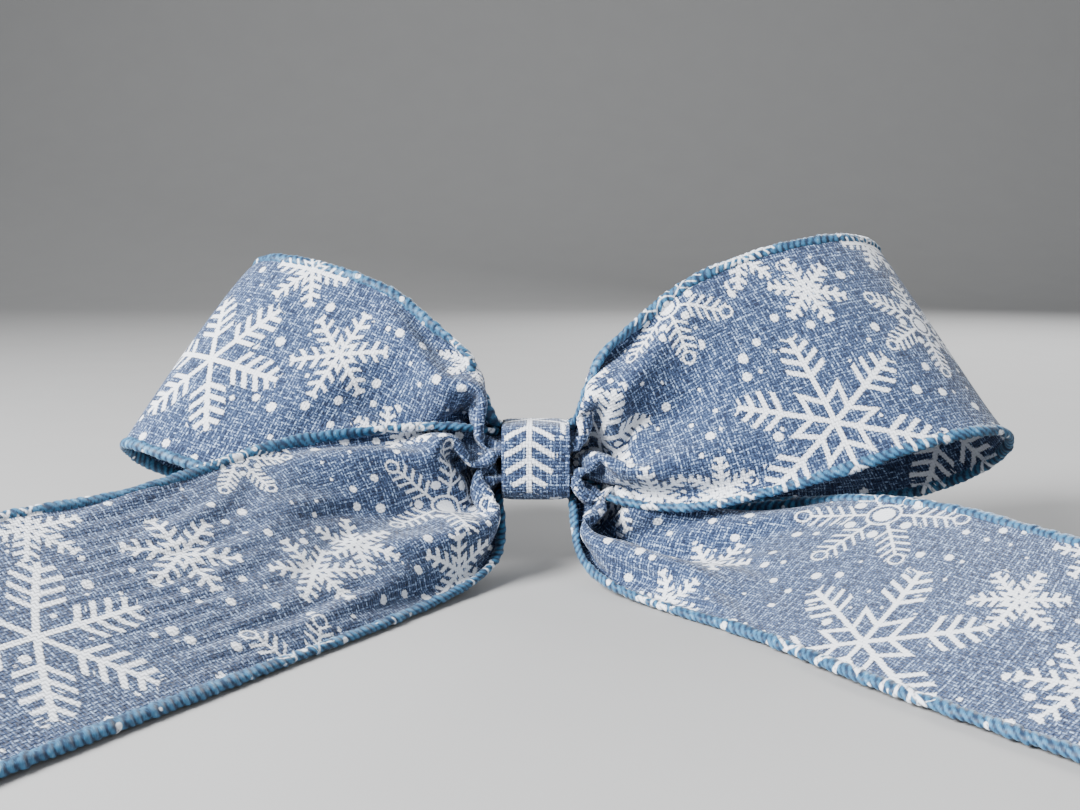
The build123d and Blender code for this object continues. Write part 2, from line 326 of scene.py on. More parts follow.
def grid_object(name, grid, uv=None, ring=False, material=None, printed=None):
    """A mesh of quads from a grid of frame points; ring closes its second direction."""
    mesh = bpy.data.meshes.new(name)
    idx = np.arange(grid.shape[0] * grid.shape[1]).reshape(grid.shape[:2])
    if ring:
        nxt = np.roll(idx, -1, axis=1)
        corners = idx[:-1], idx[1:], nxt[1:], nxt[:-1]
    else:
        corners = idx[:-1, :-1], idx[1:, :-1], idx[1:, 1:], idx[:-1, 1:]
    faces = np.stack(corners, axis=-1).reshape(-1, 4)
    mesh.from_pydata(grid.reshape(-1, 3).tolist(), [], faces.tolist())
    if uv is not None:
        layer = mesh.uv_layers.new(name="flat")
        loops = np.empty(len(mesh.loops), dtype=np.int32)
        mesh.loops.foreach_get("vertex_index", loops)
        flat = uv.reshape(-1, 2)[loops]
        layer.data.foreach_set("uv", flat.astype(np.float32).ravel())
        if printed:
            flake_maps(mesh, flat, printed)
        mesh.uv_layers.active_index = 0
    mesh.polygons.foreach_set("use_smooth", [True] * len(mesh.polygons))
    obj = bpy.data.objects.new(name, mesh)
    bpy.context.collection.objects.link(obj)
    if material:
        mesh.materials.append(material)
    return obj


def thicken(sheet, thickness):
    """Gives a sheet its thickness in mm, half on each side."""
    solid = sheet.modifiers.new("thickness", "SOLIDIFY")
    solid.thickness, solid.offset = thickness * MM, 0


# ---- ribbons -----------------------------------------------------------------------------
def is_loop(spec):
    """A loop comes back to the knot; a tail has one root and a cut end."""
    return len(spec["roots"]) == 2


def from_root(spec, along):
    """How far along the ribbon a place lies from its nearest root."""
    return np.minimum(along, spec["length"] - along) if is_loop(spec) else along


def pleat_section(root, width, across, halves):
    """One gathered cross-section at the knot: (y, z) for each share across the ribbon."""
    y0, low, high = root
    rng = np.random.default_rng(PLEAT_SEED)
    lengths = 1 + PLEAT_UNEVEN * rng.uniform(-1, 1, halves)
    ends = np.concatenate([[0], np.cumsum(lengths)]) / lengths.sum()
    rise = (high - low) / halves
    reach = np.sqrt(max((width / halves) ** 2 - rise**2, 1.0))
    phase = np.interp(across, ends, np.arange(halves + 1))
    y = y0 + 0.5 * reach * np.cos(math.pi * phase) * PLEAT_DEPTH
    return y, low + (high - low) * (phase / halves)


def flat_grid(spec, width):
    """Where every grid point lies on the ribbon laid flat: along and across, mm."""
    rows = int(spec["length"] / GRID_STEP) + 1
    along = np.linspace(0, spec["length"], rows)[:, None] * np.ones((1, GRID_ACROSS))
    across = np.linspace(-width / 2, width / 2, GRID_ACROSS)[None, :] * np.ones((rows, 1))
    if not is_loop(spec):
        cut = NOTCH_DEPTH * (1 - np.abs(across) / (width / 2))
        near_end = np.clip((along - (spec["length"] - NOTCH_RUN)) / NOTCH_RUN, 0, 1)
        along = along - cut * near_end
    return along, across


def root_rows(root, side, share, width):
    """The gathered cloth where a ribbon starts, inside the band, and where it leaves the band."""
    y, z = pleat_section(root, width, share, bpy.context.scene.gift_bow_sizes.pleats)
    inside = np.stack([np.full(len(share), side * ROOT_X), y, z], axis=1)
    return inside, inside * [0, 1, 1] + [side * BAND_EDGE, 0, 0]


def edge_line(spec, edge, heights, along):
    """One edge, out from the root and, on a loop, back to it: a point for each grid row."""
    out_x, back_x = (ROOT_X, BAND_EDGE), (BAND_EDGE, ROOT_X)
    points = [(spec["side"] * x, spec["roots"][0][0], heights[0]) for x in out_x] + spec[edge]
    if is_loop(spec):
        points += [(spec["side"] * x, spec["roots"][1][0], heights[1]) for x in back_x]
        return smooth_curve(points, len(along))
    fine = smooth_curve(points, TAIL_STEPS)
    return read_off(fine, np.linspace(0, length_of(fine), TAIL_STEPS), along)


def first_shape(spec, along, across, width):
    """Ruled between the two edge lines, with pleats that open away from the knot."""
    share = (across[0] + width / 2) / width
    halves = bpy.context.scene.gift_bow_sizes.pleats
    roots = [root_rows(root, spec["side"], share, width) for root in spec["roots"]]
    low = edge_line(spec, "lower", [inside[0, 2] for inside, _ in roots], along[:, 0])
    high = edge_line(spec, "upper", [inside[-1, 2] for inside, _ in roots], along[:, -1])
    grid = low[:, None] * (1 - share[None, :, None]) + high[:, None] * share[None, :, None]
    # pleats: what the straight gap between the edges can't hold goes into folds
    gap = np.linalg.norm(high - low, axis=1)
    spare = np.sqrt(np.clip((width / halves) ** 2 - (gap / halves) ** 2, 0, None)) * FOLD_SHARE
    normal = normals_of(grid)
    fade = np.clip(1 - from_root(spec, along[:, 0]) / GATHER_RUN, 0, 1) ** 0.8
    wave = np.cos(math.pi * halves * share)
    sign = np.sign((normal * [0, 1, 0]).sum(axis=2).mean(axis=1, keepdims=True))
    sign = np.where(sign == 0, 1, sign)
    push = 0.5 * spare[:, None] * wave[None, :] * fade[:, None] * sign
    grid = grid + push[:, :, None] * normal
    pinned = np.zeros(along.shape, bool)
    for end, (inside, outside) in enumerate(roots):
        rows, held = (grid[::-1], pinned[::-1]) if end else (grid, pinned)
        for i in range(HELD_ROWS):
            t = i / (HELD_ROWS - 1)
            rows[i] = inside * (1 - t) + outside * t
        held[:HELD_ROWS] = True
        # ease the first rows outside the band into the pleated root
        for i in range(1, EASED_ROWS + 1):
            w = 1 - i / (EASED_ROWS + 1)
            w = w * w * (3 - 2 * w)
            row = rows[HELD_ROWS - 1 + i]
            row[:] = row * (1 - w) + (outside + row.mean(0) - outside.mean(0)) * w
    return grid, low, high, pinned


def springs_of(along, across):
    """Springs between grid points: the two ends, the flat length, how stiff, and whether it pulls."""
    flat = np.stack([along, across], axis=2)
    nu, nv = along.shape
    springs = []
    for di, dj, stiff, pulls in SPRINGS:
        for parity in (0, 1):
            i0 = np.arange(max(0, -di), nu - max(0, di))
            j0 = np.arange(max(0, -dj), nv - max(0, dj))
            if di:
                i0 = i0[(i0 // abs(di)) % 2 == parity]
            else:
                j0 = j0[(j0 // abs(dj)) % 2 == parity]
            ii, jj = np.meshgrid(i0, j0, indexing="ij")
            a, b = (ii.ravel(), jj.ravel()), (ii.ravel() + di, jj.ravel() + dj)
            springs.append((a, b, np.linalg.norm(flat[a] - flat[b], axis=1), stiff, pulls))
    return springs


def relax(grid, springs, low, high, pinned, rounds):
    """Settle the sheet so that it keeps its flat lengths, held at the knot and by its wired edges."""
    p = grid.copy()
    free = (~pinned).astype(float)[:, :, None]
    for step in range(rounds):
        hold = 0.25 * (1 - step / rounds) + 0.02
        p[:, 0] += hold * (low - p[:, 0]) * free[:, 0]
        p[:, -1] += hold * (high - p[:, -1]) * free[:, -1]
        for a, b, rest, stiff, pulls in springs:
            d = p[b] - p[a]
            n = np.linalg.norm(d, axis=1)
            off = n - rest
            if not pulls:
                off = np.minimum(off, 0)
            fa, fb = free[a], free[b]
            w = np.maximum(fa + fb, 1e-9)
            move = (stiff * off / np.maximum(n, 1e-9))[:, None] * d
            p[a] += move * fa / w
            p[b] -= move * fb / w
        p[:, :, 2] = np.maximum(p[:, :, 2], LOWEST_CLOTH)
    return p


def ironed(grid, spec, along):
    """Takes short ripples out of the cloth beyond the gathers, along its length."""
    away = from_root(spec, along.mean(axis=1))
    share = np.clip((away - IRON_FROM) / IRON_FADE, 0, 1)[:, None, None]
    for _ in range(IRON_PASSES):
        even = grid.copy()
        even[1:-1] = 0.25 * grid[:-2] + 0.5 * grid[1:-1] + 0.25 * grid[2:]
        grid = grid + share * (even - grid)
    return grid


def finer(grid):
    """A smooth grid through the same points, with twice as many each way."""
    for _ in range(2):
        pad = np.concatenate([2 * grid[:1] - grid[1:2], grid, 2 * grid[-1:] - grid[-2:-1]])
        out = []
        for p0, p1, p2, p3 in zip(pad, pad[1:], pad[2:], pad[3:]):
            for t in (0.0, 0.5):
                out.append(0.5 * (2 * p1 + (p2 - p0) * t + (2 * p0 - 5 * p1 + 4 * p2 - p3) * t**2
                                  + (3 * p1 - p0 - 3 * p2 + p3) * t**3))
        grid = np.array(out + [grid[-1]]).swapaxes(0, 1)
    return grid


def stitch_wraps(run, theta, pitch, seed):
    """Wraps of thread round an edge: each point's swell, and its height on its wrap."""
    rng = np.random.default_rng(seed)
    bends = max(3, int(run[-1] / WOBBLE_RUN))
    wobble = np.interp(run, np.linspace(0, run[-1], bends), rng.uniform(-0.22, 0.22, bends))
    phase = (run / pitch + wobble)[:, None] + 0.55 * np.sin(theta)[None, :] + 0.40 * np.cos(theta)[None, :]
    per = rng.uniform(0.86, 1.12, int(run[-1] / pitch) + 4)
    which = np.clip(np.floor(phase).astype(int) + 1, 0, len(per) - 1)
    ridge = np.abs(np.sin(math.pi * phase)) ** 0.55
    return (0.80 + 0.20 * ridge) * per[which], ridge


def tube_round(line, normal, inward, rows, around, radii, swell=1.0):
    """Rings round a line, radii[0] wide along the cloth and radii[1] thick."""
    marks, at = np.arange(len(line)), np.linspace(0, len(line) - 1, rows)
    c, n, w = (read_off(values, marks, at) for values in (line, normal, inward))
    theta = np.linspace(0, 2 * math.pi, around, endpoint=False)
    swell = swell * np.ones((rows, around))
    return (c[:, None] + (swell * np.cos(theta) * radii[0])[:, :, None] * w[:, None]
            + (swell * np.sin(theta) * radii[1])[:, :, None] * n[:, None])


def make_stitching(name, print_name, line, normal, inward, flat, seed, material):
    """A stitched edge: an oval round the line with a ridge for every wrap of thread."""
    sizes = bpy.context.scene.gift_bow_sizes
    length = length_of(line)
    rows, around = int(length / sizes.stitch_pitch * 8), 12
    theta = np.linspace(0, 2 * math.pi, around, endpoint=False)
    swell, ridge = stitch_wraps(np.linspace(0, length, rows), theta, sizes.stitch_pitch, seed)
    ring = tube_round(line, normal, inward, rows, around, (sizes.binding_wide, sizes.binding_thick), swell)
    base = read_off(flat, np.arange(len(line)), np.linspace(0, len(line) - 1, rows))
    sign = np.sign(-base[:, 1])[:, None]
    across = base[:, 1][:, None] + sign * np.cos(theta)[None, :] * sizes.binding_wide * MM
    uv = np.stack([np.repeat(base[:, :1], around, axis=1), across], axis=2)
    tube = grid_object(name, to_frame(ring), uv, ring=True, material=material, printed=print_name)
    height = tube.data.attributes.new("ridge", "FLOAT", "POINT")
    height.data.foreach_set("value", ridge.astype(np.float32).ravel())
    return tube


def make_ribbon(name):
    """One ribbon: cloth, and along each edge its stitching and wire."""
    spec, sizes = RIBBONS[name], bpy.context.scene.gift_bow_sizes
    width = sizes.ribbon_width - EDGE_ALLOWANCE
    along, across = flat_grid(spec, width)
    grid, low, high, pinned = first_shape(spec, along, across, width)
    rounds = ROUNDS
    settled = relax(grid, springs_of(along, across), low, high, pinned, rounds)
    fine = finer(ironed(settled, spec, along))
    uv = np.stack([finer(along[:, :, None])[:, :, 0], finer(across[:, :, None])[:, :, 0]], axis=2) * MM
    cloth = grid_object(name + "_ribbon", to_frame(fine), uv, material=cloth_material(name), printed=name)
    thicken(cloth, sizes.cloth_thick)
    pieces = [(cloth, name + "_cloth", "printed_linen")]
    normal = normals_of(fine)
    upward = np.gradient(fine, axis=1)
    upward /= np.linalg.norm(upward, axis=2, keepdims=True)
    thread, wire = thread_material(name), wire_material()
    for edge, j, sign, seed in (("lower", 0, 1, 1), ("upper", -1, -1, 2)):
        line = fine[:, j] + sign * upward[:, j] * STITCH_IN
        stitching = make_stitching(f"{name}_{edge}_stitching", name, line, normal[:, j],
                                   sign * upward[:, j], uv[:, j], spec["seed"] * 10 + seed, thread)
        rows = int(length_of(fine[:, j]) / WIRE_STEP)
        ring = tube_round(fine[:, j], normal[:, j], upward[:, j], rows, 8, (WIRE_RADIUS, WIRE_RADIUS))
        inner = grid_object(f"{name}_{edge}_edge_wire", to_frame(ring), ring=True, material=wire)
        pieces += [(stitching, f"{name}_{edge}_binding", "edge_thread"),
                   (inner, f"{name}_{edge}_wire", "edge_wire")]
    start, end = to_frame([[spec["side"] * x, 0, 0] for x in (BEND_START, BEND_END)])
    for piece, node, slot in pieces:
        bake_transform(piece, "knot", spec["body"], start=tuple(start), end=tuple(end))
        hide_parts(node)


# ---- band and pinch ----------------------------------------------------------------------
def rounded_loop(half_y, half_z, radius):
    """A rounded rectangle in the y, z plane, from the middle of its back, going down."""
    cy, cz = half_y - radius, half_z - radius
    pts = [(half_y, 0), (half_y, -cz)]
    for centre, a0 in (((cy, -cz), 0), ((-cy, -cz), -90), ((-cy, cz), -180), ((cy, cz), -270)):
        for k in range(13):
            a = math.radians(a0 - 90 * k / 12)
            pts.append((centre[0] + radius * math.cos(a), centre[1] + radius * math.sin(a)))
    pts += [(half_y, cz), (half_y, 0)]
    return np.array([(0, y, z) for y, z in pts])


def accordion_fold(half):
    """The ribbon's cross-section folded in four, outermost layer first: (sideways, outwards)."""
    path = []
    for layer in range(4):
        sign = 1 if layer % 2 == 0 else -1
        outer = layer == 0
        h = half - LAYER_GAP / 2 - (0 if outer else INNER_LAYERS_IN)
        for t in np.linspace(-1, 1, 19):
            path.append((sign * t * h, -LAYER_GAP * layer - (EDGE_ROLL * abs(t) ** 6 if outer else 0)))
        if layer < 3:
            for r in np.radians(np.linspace(-90, 90, 7)[1:-1]):
                path.append((sign * (h + LAYER_GAP / 2 * math.cos(r)),
                             -LAYER_GAP * layer - LAYER_GAP / 2 - LAYER_GAP / 2 * math.sin(r)))
    return np.array(path)


def make_band():
    """The ribbon folded lengthwise in four and wrapped over the pinch, glued behind."""
    sizes = bpy.context.scene.gift_bow_sizes
    half = sizes.band_width / 2
    line = rounded_loop(*BAND_ROUND)
    run = length_of(line)
    start, end = -BAND_UNDER, run + BAND_OVER
    at = np.linspace(start, end, BAND_ROWS)
    ring = read_off(line, run_along(line), at % run)
    tangent = np.gradient(ring, axis=0)
    tangent /= np.linalg.norm(tangent, axis=1, keepdims=True)
    out = np.cross([1, 0, 0], tangent)
    out *= np.sign((out * ring).sum(axis=1, keepdims=True))
    # the last stretch climbs over the first, where the two are glued
    lift = np.clip((at - (run - 4.5)) / 5.5, 0, 1)
    lift = (lift * lift * (3 - 2 * lift)) * OVERLAP_LIFT
    path = accordion_fold(half)
    rng = np.random.default_rng(21)
    ripple = np.interp(at, np.linspace(start, end, 16), rng.uniform(-0.12, 0.12, 16))
    ripple = ripple[:, None, None]
    grid = (ring[:, None] + path[None, :, :1] * (1 + 0.25 * ripple / half) * np.array([1.0, 0, 0])
            + (path[None, :, 1:] + lift[:, None, None] + 0.12 * ripple) * out[:, None])
    grid = grid + [0, 0, KNOT[2] + BAND_RISE]
    uv = np.stack([np.repeat(at[:, None], len(path), 1),
                   np.repeat(run_along(path)[None], BAND_ROWS, 0) - half], axis=2) * MM
    band = grid_object("folded_band", to_frame(grid), uv, material=cloth_material("band"), printed="band")
    thicken(band, BAND_CLOTH)
    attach(band, "knot")
    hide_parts("centre_band")


def make_pinch():
    """The pleated middles of the ribbons, side to side inside the band."""
    sizes = bpy.context.scene.gift_bow_sizes
    width = sizes.ribbon_width - EDGE_ALLOWANCE
    share = np.linspace(0, 1, 49)
    y, z = pleat_section(PINCH_ROOT, width, share, sizes.pleats + 2)
    half = PINCH_LENGTH / 2
    xs = np.linspace(-half, half, 9)
    # the pleats are drawn in towards the middle
    grid = np.stack([np.stack([np.full(49, x), y * (1.2 - 0.12 * math.cos(x / half * 1.5)), z], axis=1)
                     for x in xs])
    uv = np.stack([np.repeat(xs[:, None], 49, 1),
                   np.repeat(share[None] * width - width / 2, 9, 0)], axis=2) * MM
    cloth = cloth_material("pinch")
    pinch = grid_object("pleated_pinch", to_frame(grid), uv, material=cloth, printed="pinch")
    thicken(pinch, sizes.cloth_thick)
    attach(pinch, "knot")
    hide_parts("knot_pinch")


# ---- node groups -------------------------------------------------------------------------
class Nodes:
    """Short calls for adding nodes to a tree."""

    def __init__(self, tree):
        self.tree = tree

    def node(self, kind, **values):
        n = self.tree.nodes.new(kind)
        for key, value in values.items():
            setattr(n, key, value)
        return n

    def put(self, socket, value):
        if isinstance(value, bpy.types.NodeSocket):
            self.tree.links.new(value, socket)
        elif value is not None:
            socket.default_value = value

    def math(self, op, *args):
        n = self.node("ShaderNodeMath", operation=op)
        for i, value in enumerate(args):
            self.put(n.inputs[i], value)
        return n.outputs[0]

    def times(self, a, b):
        return self.math("MULTIPLY", a, b)

    def minus(self, a, b):
        return self.math("SUBTRACT", a, b)

    def plus(self, a, b):
        return self.math("ADD", a, b)

    def length(self, x, y):
        return self.math("SQRT", self.plus(self.times(x, x), self.times(y, y)))

    def least(self, *args):
        out = args[0]
        for value in args[1:]:
            out = self.math("MINIMUM", out, value)
        return out

    def most(self, *args):
        out = args[0]
        for value in args[1:]:
            out = self.math("MAXIMUM", out, value)
        return out

    def spread(self, value, low, high, out_low=0.0, out_high=1.0):
        n = self.node("ShaderNodeMapRange", interpolation_type="SMOOTHSTEP")
        for i, v in enumerate((value, low, high, out_low, out_high)):
            self.put(n.inputs[i], v)
        return n.outputs[0]

    def mix(self, share, a, b):
        n = self.node("ShaderNodeMix", data_type="RGBA")
        self.put(n.inputs[0], share)
        self.put(n.inputs[6], a)
        self.put(n.inputs[7], b)
        return n.outputs[2]

    def noise(self, vector, scale, detail=2.0, rough=0.5):
        n = self.node("ShaderNodeTexNoise")
        return self.feed(n, Vector=vector, Scale=scale, Detail=detail, Roughness=rough)[0]

    def feed(self, node, **values):
        """Sets or links a node's sockets, named with _ for a space; returns its outputs."""
        for label, value in values.items():
            self.put(node.inputs[label.replace("_", " ")], value)
        return node.outputs

    def bump(self, height, strength, distance):
        n = self.node("ShaderNodeBump")
        return self.feed(n, Strength=strength, Distance=distance, Height=height)[0]

    def group(self, tree, **values):
        return self.feed(self.node("ShaderNodeGroup", node_tree=tree), **values)

    def scaled(self, vector, x, y):
        n = self.node("ShaderNodeVectorMath", operation="MULTIPLY")
        self.put(n.inputs[0], vector)
        n.inputs[1].default_value = (x, y, 1.0)
        return n.outputs[0]

    def shifted(self, vector, by):
        n = self.node("ShaderNodeVectorMath", operation="ADD")
        self.put(n.inputs[0], vector)
        self.put(n.inputs[1], by)
        return n.outputs[0]


def new_group(name, inputs, outputs):
    """A node group with sockets of the given kinds; returns it with its two end nodes."""
    tree = bpy.data.node_groups.new(name, "ShaderNodeTree")
    kinds = {"v": "NodeSocketVector", "f": "NodeSocketFloat", "c": "NodeSocketColor"}
    for label, kind, default in inputs:
        s = tree.interface.new_socket(label, in_out="INPUT", socket_type=kinds[kind])
        if default is not None:
            s.default_value = default
    for label, kind in outputs:
        tree.interface.new_socket(label, in_out="OUTPUT", socket_type=kinds[kind])
    n = Nodes(tree)
    return tree, n, n.node("NodeGroupInput").outputs, n.node("NodeGroupOutput").inputs


def flake_group():
    """How far a point lies outside a six-armed snowflake, in metres.  "On flake" is in radii, and
    the kind's share of one picks its measures from ramps whose steps hold them."""
    if "snowflake" in bpy.data.node_groups:
        return bpy.data.node_groups["snowflake"]
    tree, n, i, o = new_group("snowflake", [
        ("On flake", "v", None), ("Radius", "f", 0.01), ("Kind", "f", 0.0)], [("Distance", "f")])
    xyz = n.node("ShaderNodeSeparateXYZ")
    n.put(xyz.inputs[0], i["On flake"])
    x, y, r = xyz.outputs[0], xyz.outputs[1], i["Radius"]
    columns = []
    for first in (0, 3, 6):
        ramp = n.node("ShaderNodeValToRGB")
        ramp.color_ramp.interpolation = "CONSTANT"
        stops = ramp.color_ramp.elements
        for k, values in enumerate(FLAKES.values()):
            stop = stops[k] if k < 2 else stops.new(k / len(FLAKES))
            stop.position = k / len(FLAKES)
            stop.color = (values + (0.0, 0.0))[first:first + 3] + (1.0,)
        n.put(ramp.inputs[0], i["Kind"])
        split = n.node("ShaderNodeSeparateColor")
        n.put(split.inputs[0], ramp.outputs[0])
        columns += list(split.outputs)
    line, branch_from, step, branch_length, star, ring_at, tip_ring = columns[:7]
    w = n.math("DIVIDE", n.times(line, MM), r)
    rad = n.length(x, y)
    ang = n.plus(n.math("ARCTAN2", y, x), 12 * math.pi)
    fold = n.math("PINGPONG", ang, math.pi / 6)
    qx = n.times(rad, n.math("COSINE", fold))
    qy = n.times(rad, n.math("SINE", fold))
    arm = n.most(n.minus(qy, w), n.minus(qx, 1.0))
    # side branches leave the arm at 60 degrees, evenly stepped, shorter towards the tip
    foot = n.minus(qx, n.times(qy, 0.577))
    out = n.times(qy, 1.155)
    near = n.math("PINGPONG", n.plus(n.minus(foot, branch_from), n.times(step, 12.0)),
                  n.times(step, 0.5))
    reach = n.times(branch_length, n.spread(foot, 1.12, 0.6, 0.28, 1.0))
    branch = n.most(n.minus(n.times(near, 0.866), n.times(w, 0.92)),
                    n.minus(out, reach),
                    n.minus(n.minus(branch_from, n.times(step, 0.4)), foot),
                    n.minus(foot, n.minus(0.97, n.times(tip_ring, 1.6))))
    # star: a line from a valley on the arm to a point between two arms
    vx, tx, ty = (n.times(star, k) for k in (0.5, 0.866, 0.5))
    dx, dy = n.minus(tx, vx), ty
    long = n.math("SQRT", n.plus(n.plus(n.times(dx, dx), n.times(dy, dy)), 1e-9))
    cross = n.minus(n.times(n.minus(qx, vx), dy), n.times(qy, dx))
    star_d = n.minus(n.math("ABSOLUTE", n.math("DIVIDE", cross, long)), n.times(w, 0.9))
    star_d = n.plus(star_d, n.math("LESS_THAN", star, 0.01))
    ring = n.minus(n.math("ABSOLUTE", n.minus(rad, ring_at)), n.times(w, 0.9))
    ring = n.least(ring, n.minus(rad, n.times(ring_at, 0.66)))
    ring = n.plus(ring, n.math("LESS_THAN", ring_at, 0.01))
    tip = n.minus(qx, n.minus(1.0, tip_ring))
    tip_r = n.length(tip, qy)
    tip_d = n.minus(n.math("ABSOLUTE", n.minus(tip_r, tip_ring)), n.times(w, 0.75))
    no_tip = n.math("LESS_THAN", tip_ring, 0.01)
    hole = n.minus(n.times(tip_ring, 0.9), tip_r)
    arm = n.most(arm, n.minus(hole, no_tip))
    arm = n.most(arm, n.minus(n.times(ring_at, 0.96), rad))
    # ringed ones also carry a dot between each two arms
    gx, gy = n.minus(qx, 0.33), n.minus(qy, 0.19)
    dot = n.plus(n.minus(n.length(gx, gy), 0.062), no_tip)
    total = n.least(arm, branch, star_d, ring, dot, n.plus(tip_d, no_tip))
    n.put(o["Distance"], n.times(total, r))
    return tree


def print_group():
    """The white print: snowflakes, and dots scattered between them."""
    if "white_print" in bpy.data.node_groups:
        return bpy.data.node_groups["white_print"]
    tree, n, i, o = new_group("white_print", [
        ("Flat", "v", None), ("On flake", "v", None), ("Kind", "v", None), ("Shift", "v", None),
        ("Weave", "f", 0.5)], [("Print", "f")])
    warp = n.noise(i["Flat"], 900.0, 2.0)
    kind = n.node("ShaderNodeSeparateXYZ")
    n.put(kind.inputs[0], i["Kind"])
    best = n.group(flake_group(), On_flake=i["On flake"], Radius=kind.outputs[0], Kind=kind.outputs[1])[0]
    dots = n.node("ShaderNodeTexVoronoi", voronoi_dimensions="2D", feature="F1")
    n.feed(dots, Vector=n.shifted(i["Flat"], i["Shift"]), Scale=1 / DOT_CELL)
    pick = n.node("ShaderNodeSeparateColor")
    n.put(pick.inputs[0], dots.outputs["Color"])
    size = n.spread(pick.outputs[0], 0.1, 1.0, 0.00026, 0.00078)
    size = n.times(size, n.math("GREATER_THAN", pick.outputs[1], 0.14))
    dot = n.minus(n.times(dots.outputs["Distance"], DOT_CELL), size)
    dot = n.plus(dot, n.times(n.math("LESS_THAN", best, 0.0005), 0.002))
    best = n.math("MINIMUM", best, dot)
    rough = n.times(n.minus(warp, 0.5), 0.00030)
    rough = n.plus(rough, n.times(n.minus(1.1, i["Weave"]), 0.00020))
    n.put(o["Print"], n.spread(n.plus(best, rough), 0.00011, -0.00009))
    return tree


def weave_group():
    """Linen-look cloth: crossed yarns with slubs.  Colour share, specks and height."""
    if "linen_weave" in bpy.data.node_groups:
        return bpy.data.node_groups["linen_weave"]
    tree, n, i, o = new_group("linen_weave", [("Flat", "v", None), ("Pitch", "f", 0.0005)],
                              [("Tone", "f"), ("Height", "f")])
    bend = n.noise(i["Flat"], 160.0, 2.0)
    push = n.node("ShaderNodeCombineXYZ")
    amount = n.times(n.minus(bend, 0.5), 0.0006)
    n.put(push.inputs[0], amount)
    n.put(push.inputs[1], amount)
    bent = n.shifted(i["Flat"], push.outputs[0])
    xyz = n.node("ShaderNodeSeparateXYZ")
    n.put(xyz.inputs[0], bent)
    turns = [n.times(n.math("DIVIDE", xyz.outputs[k], i["Pitch"]), math.pi) for k in (0, 1)]
    weft = n.math("POWER", n.math("ABSOLUTE", n.math("SINE", turns[0])), 0.7)
    warp = n.math("POWER", n.math("ABSOLUTE", n.math("SINE", turns[1])), 0.7)
    check = n.times(n.math("SINE", turns[0]), n.math("SINE", turns[1]))
    over = n.spread(check, -0.15, 0.15)
    # slubs: each yarn's own thickness and shade, drawn out along it
    slub_weft = n.noise(n.scaled(bent, 2000.0, 620.0), 1.0, 2.0, 0.6)
    slub_warp = n.noise(n.scaled(bent, 620.0, 2000.0), 1.0, 2.0, 0.6)
    streak_weft = n.noise(n.scaled(bent, 1500.0, 70.0), 1.0, 1.0)
    streak_warp = n.noise(n.scaled(bent, 70.0, 1500.0), 1.0, 1.0)
    fibre = n.noise(i["Flat"], 5200.0, 2.0, 0.7)
    # pale yarns both ways on a dark ground, each coming and going
    line_weft, line_warp = n.math("POWER", weft, 1.7), n.math("POWER", warp, 1.7)
    bright_weft = n.plus(n.times(n.minus(slub_weft, 0.5), 3.6), 0.60)
    bright_warp = n.plus(n.times(n.minus(slub_warp, 0.5), 3.4), 0.50)
    bright_weft = n.plus(bright_weft, n.times(n.minus(streak_weft, 0.5), 0.9))
    bright_warp = n.plus(bright_warp, n.times(n.minus(streak_warp, 0.5), 0.7))
    bright_weft = n.times(bright_weft, n.minus(1.0, n.times(over, 0.45)))
    bright_warp = n.times(bright_warp, n.plus(0.5, n.times(over, 0.5)))
    tone = n.math("MAXIMUM", n.times(bright_weft, line_weft), n.times(bright_warp, line_warp))
    tone = n.plus(tone, n.times(n.minus(fibre, 0.5), 1.0))
    height = n.plus(n.times(weft, n.minus(1.0, over)), n.times(warp, over))
    n.put(o["Tone"], tone)
    n.put(o["Height"], n.plus(height, n.times(n.plus(slub_weft, slub_warp), 0.4)))
    return tree


def colour(c):
    """A picked colour as a node's socket takes it."""
    return (c[0], c[1], c[2], 1.0)


def new_material(name):
    """A material with its node helper and its shader."""
    mat = bpy.data.materials.new(name)
    mat.use_nodes = True
    return mat, Nodes(mat.node_tree), mat.node_tree.nodes["Principled BSDF"]


def print_of(n, name, flat, weave):
    """The white print at a flat point of the named ribbon."""
    on_flake, kind = (n.node("ShaderNodeUVMap", uv_map=uv).outputs[0] for uv in ("on_flake", "flake_kind"))
    shift = (0.31 * list(PLACED).index(name), 0.17, 0)
    return n.group(print_group(), Flat=flat, On_flake=on_flake, Kind=kind, Shift=shift, Weave=weave)[0]


def cloth_material(name):
    """Printed linen for one ribbon."""
    hues, sizes = bpy.context.scene.gift_bow_colours, bpy.context.scene.gift_bow_sizes
    mat, n, shader = new_material("printed_linen_" + name)
    uv = n.node("ShaderNodeUVMap", uv_map="flat").outputs[0]
    tone, height = n.group(weave_group(), Flat=uv, Pitch=sizes.yarn_pitch * MM)
    base = n.mix(n.spread(tone, 0.0, 0.5), colour(hues.yarn_dark), colour(hues.yarn_mid))
    base = n.mix(n.spread(tone, 0.42, 1.1), base, colour(hues.yarn_light))
    white = print_of(n, name, uv, height)
    # painted shade: the print is made greyer where the weave lies low, in its hollows
    print_painted_shade = n.mix(n.spread(height, 0.2, 1.1), (0.62, 0.66, 0.74, 1), colour(hues.print_white))
    n.feed(shader, Base_Color=n.mix(n.times(white, 0.94), base, print_painted_shade),
           Roughness=n.spread(tone, 0.0, 1.0, 0.88, 0.74),
           Sheen_Weight=0.18, Sheen_Roughness=0.5, Specular_IOR_Level=0.25,
           Normal=n.bump(n.plus(height, n.times(white, 0.35)), 0.55, 0.00022))
    return mat


